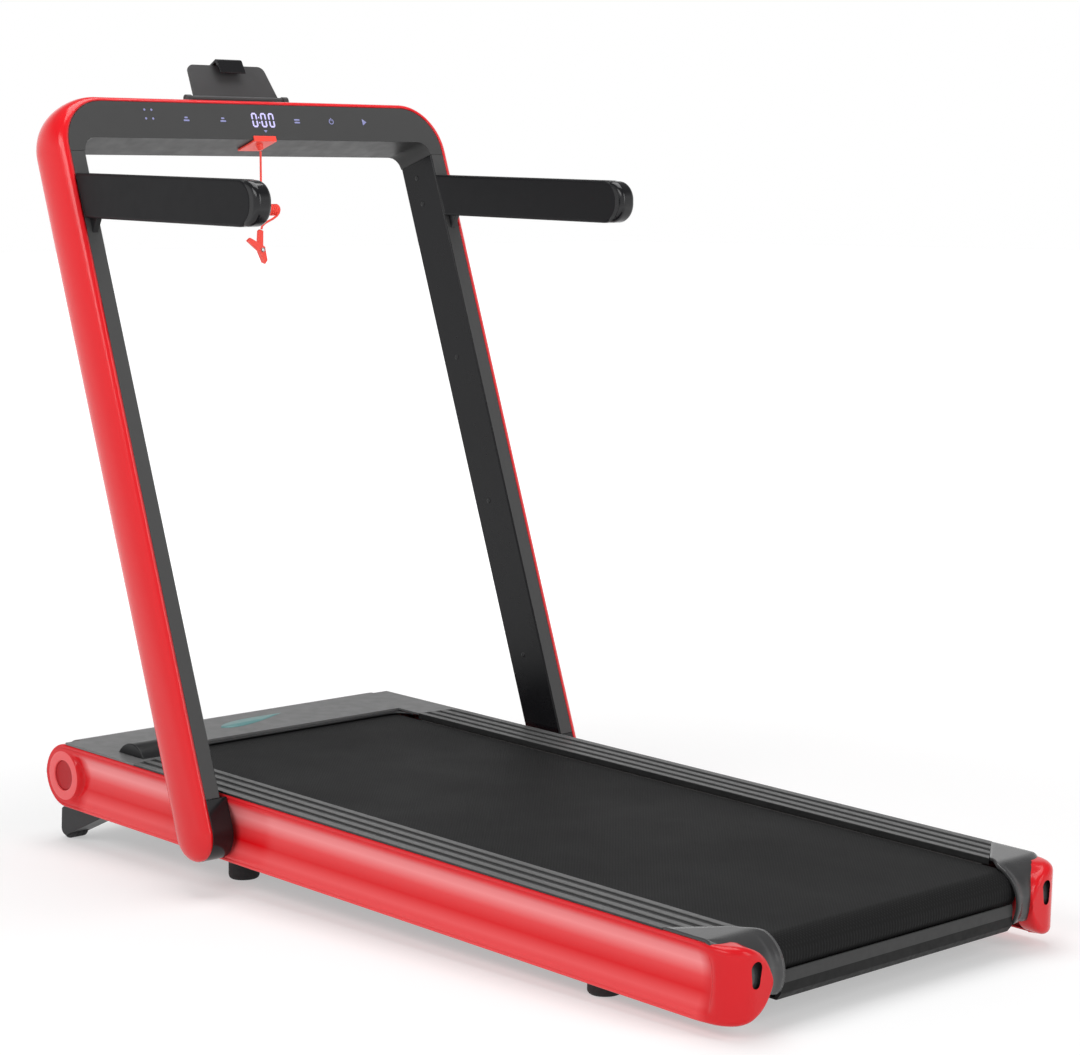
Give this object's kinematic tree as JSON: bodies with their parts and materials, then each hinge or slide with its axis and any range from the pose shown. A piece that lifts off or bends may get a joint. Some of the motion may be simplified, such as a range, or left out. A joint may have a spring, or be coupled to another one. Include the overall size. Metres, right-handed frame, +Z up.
{
  "type": "folding treadmill",
  "caption": "Folding electric walking treadmill with a fold-down upright frame, side hand rails, phone rest and safety key.",
  "frame": {"origin": "middle of the footprint, on the floor", "axes": "+X to the rear, where the user steps on; +Y to the right of a user who faces the console; +Z up"},
  "size_m": [1.2435, 0.653, 1.0334],
  "materials": {
    "red_shell": "gloss",
    "grey_plastic": "satin",
    "dark_gloss": "gloss",
    "black_plastic": "satin",
    "belt_rubber": "matte",
    "soft_rubber": "matte",
    "deck_board": "satin",
    "frame_paint": "satin",
    "steel": "satin",
    "motor_steel": "satin",
    "red_key": "satin"
  },
  "bodies": {
    "base": {"frame_rail_left": "frame_paint", "frame_rail_right": "frame_paint", "front_crossmember": "frame_paint", "rear_crossmember": "frame_paint", "running_deck": "deck_board", "deck_cushion_left": "soft_rubber", "deck_cushion_right": "soft_rubber", "side_cover_left": "red_shell", "side_cover_right": "red_shell", "foot_rail_left": "grey_plastic", "foot_rail_right": "grey_plastic", "rear_cap_left": "grey_plastic", "rear_cap_right": "grey_plastic", "rear_bar": "grey_plastic", "motor_cover": "grey_plastic", "bottom_pan": "black_plastic", "running_belt": "belt_rubber", "drive_belt": "soft_rubber", "motor": "motor_steel", "controller": "black_plastic", "tension_bolt_left": "steel", "tension_bolt_right": "steel", "power_inlet": "black_plastic", "wheel_bracket_left": "grey_plastic", "wheel_bracket_right": "grey_plastic", "foot_front_left": "soft_rubber", "foot_front_right": "soft_rubber", "foot_rear_left": "soft_rubber", "foot_rear_right": "soft_rubber"},
    "front_roller_body": {"front_roller": "steel"},
    "rear_roller_body": {"rear_roller": "steel"},
    "motor_rotor": {"motor_pulley": "steel"},
    "wheel_left": {"transport_wheel_left": "soft_rubber"},
    "wheel_right": {"transport_wheel_right": "soft_rubber"},
    "pedal": {"fold_pedal": "black_plastic"},
    "rocker": {"power_switch": "red_key"},
    "breaker": {"breaker_button": "black_plastic"},
    "upright_frame": {"hinge_hub_left": "black_plastic", "hinge_hub_right": "black_plastic", "upright_tube_left": "steel", "upright_tube_right": "steel", "inner_shell_left": "dark_gloss", "inner_shell_right": "dark_gloss", "outer_shell_left": "red_shell", "outer_shell_right": "red_shell", "outer_shell_top": "red_shell", "console_housing": "grey_plastic", "console_tube": "steel", "arm_bracket_left": "black_plastic", "arm_bracket_right": "black_plastic", "holder_ledge": "black_plastic"},
    "hand_rail_left": {"arm_left": "black_plastic"},
    "hand_rail_right": {"arm_right": "black_plastic"},
    "phone_rest": {"phone_plate": "dark_gloss"},
    "clamp": {"phone_clamp": "black_plastic"},
    "key": {"safety_key": "red_key"},
    "hanging_cord": {"safety_cord": "red_key", "cord_bundle": "red_key", "clip_body": "red_key"},
    "clip_handle": {"clip_lever": "red_key"}
  },
  "joints": [
    {"name": "upright_fold", "type": "hinge", "parent": "base", "child": "upright_frame", "pos_m": [-0.2424, 0, 0.075], "axis": [0, 1, 0], "range_deg": [0, 107]},
    {"name": "hand_rail_fold_left", "type": "hinge", "parent": "upright_frame", "child": "hand_rail_left", "pos_m": [-0.45208, -0.29865, 0.83158], "axis": [0, 1, 0], "range_deg": [0, 70]},
    {"name": "hand_rail_fold_right", "type": "hinge", "parent": "upright_frame", "child": "hand_rail_right", "pos_m": [-0.45208, 0.29865, 0.83158], "axis": [0, 1, 0], "range_deg": [0, 70]},
    {"name": "phone_rest_tilt", "type": "hinge", "parent": "upright_frame", "child": "phone_rest", "pos_m": [-0.55175, 0, 0.97959], "axis": [0, 1, 0], "range_deg": [-75, 12]},
    {"name": "clamp_lift", "type": "slide", "parent": "phone_rest", "child": "clamp", "axis": [-0.5075, 0, 0.8616], "range_m": [0, 0.025], "stiffness_N_per_m": 120, "springref_m": -0.012},
    {"name": "key_pull", "type": "slide", "parent": "upright_frame", "child": "key", "axis": [0.3176, 0, -0.9482], "range_m": [0, 0.008], "stiffness_N_per_m": 150, "springref_m": -0.02},
    {"name": "cord_swing", "type": "hinge", "parent": "key", "child": "hanging_cord", "pos_m": [-0.50099, 0, 0.9098], "axis": [0.8935, -0.449, 0], "range_deg": [0, 97.82]},
    {"name": "clip_squeeze", "type": "hinge", "parent": "hanging_cord", "child": "clip_handle", "pos_m": [-0.50099, -0.0015, 0.78], "axis": [1, 0, 0], "range_deg": [-20, 0], "stiffness_Nm_per_rad": 0.05, "springref_deg": 5.73},
    {"name": "front_roller_spin", "type": "hinge", "parent": "base", "child": "front_roller_body", "pos_m": [-0.51313, 0, 0.09514], "axis": [0, 1, 0], "continuous": true},
    {"name": "rear_roller_spin", "type": "hinge", "parent": "base", "child": "rear_roller_body", "pos_m": [0.58567, 0, 0.07196], "axis": [0, 1, 0], "continuous": true},
    {"name": "motor_spin", "type": "hinge", "parent": "base", "child": "motor_rotor", "pos_m": [-0.5783, 0, 0.09041], "axis": [0, 1, 0], "continuous": true},
    {"name": "wheel_spin_left", "type": "hinge", "parent": "base", "child": "wheel_left", "pos_m": [-0.605, -0.2445, 0.0139], "axis": [0, 1, 0], "continuous": true},
    {"name": "wheel_spin_right", "type": "hinge", "parent": "base", "child": "wheel_right", "pos_m": [-0.605, 0.2445, 0.0139], "axis": [0, 1, 0], "continuous": true},
    {"name": "pedal_press", "type": "slide", "parent": "base", "child": "pedal", "axis": [-0.0302, 0, -0.9995], "range_m": [0, 0.008], "stiffness_N_per_m": 800, "springref_m": -0.004},
    {"name": "power_rocker", "type": "hinge", "parent": "base", "child": "rocker", "pos_m": [-0.61221, 0.186, 0.09393], "axis": [0, 1, 0], "range_deg": [-8, 8]},
    {"name": "breaker_press", "type": "slide", "parent": "base", "child": "breaker", "axis": [0.9995, 0, -0.0302], "range_m": [0, 0.004], "stiffness_N_per_m": 300, "springref_m": -0.002}
  ],
  "couplings": [
    {"joint": "rear_roller_spin", "follows": "front_roller_spin", "ratio": 1.4515},
    {"joint": "motor_spin", "follows": "front_roller_spin", "ratio": 2.338},
    {"joint": "cord_swing", "follows": "upright_fold", "ratio": 0.91421}
  ]
}
